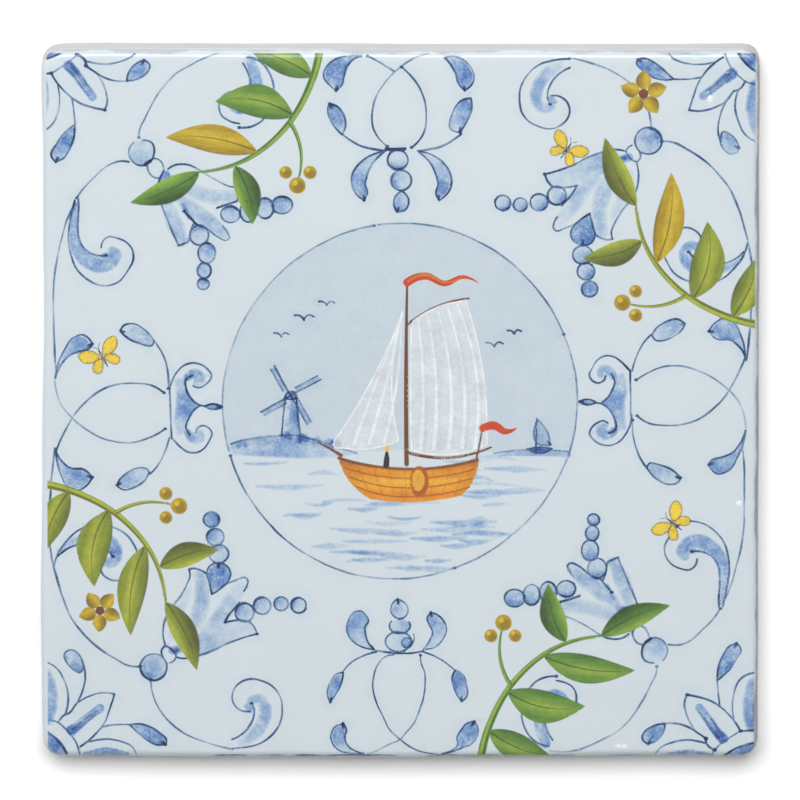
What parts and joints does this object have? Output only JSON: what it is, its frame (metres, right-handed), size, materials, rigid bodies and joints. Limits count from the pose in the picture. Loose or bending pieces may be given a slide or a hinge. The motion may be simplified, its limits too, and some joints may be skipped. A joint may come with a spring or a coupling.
{
  "type": "delft tile",
  "caption": "Square tin-glazed earthenware wall tile with slightly wavy hand-cut sides, a rolled glazed rim and a flat back, painted with a blue border round a roundel.",
  "frame": {"origin": "centre of the flat unglazed back, which lies on the floor", "axes": "+Z out of the glazed face, +Y towards the top of the painted picture, +X to its right"},
  "size_m": [0.1305, 0.1303, 0.009],
  "materials": {
    "glazed_earthenware": "gloss"
  },
  "bodies": {
    "root": {"tile": "glazed_earthenware"}
  },
  "joints": []
}
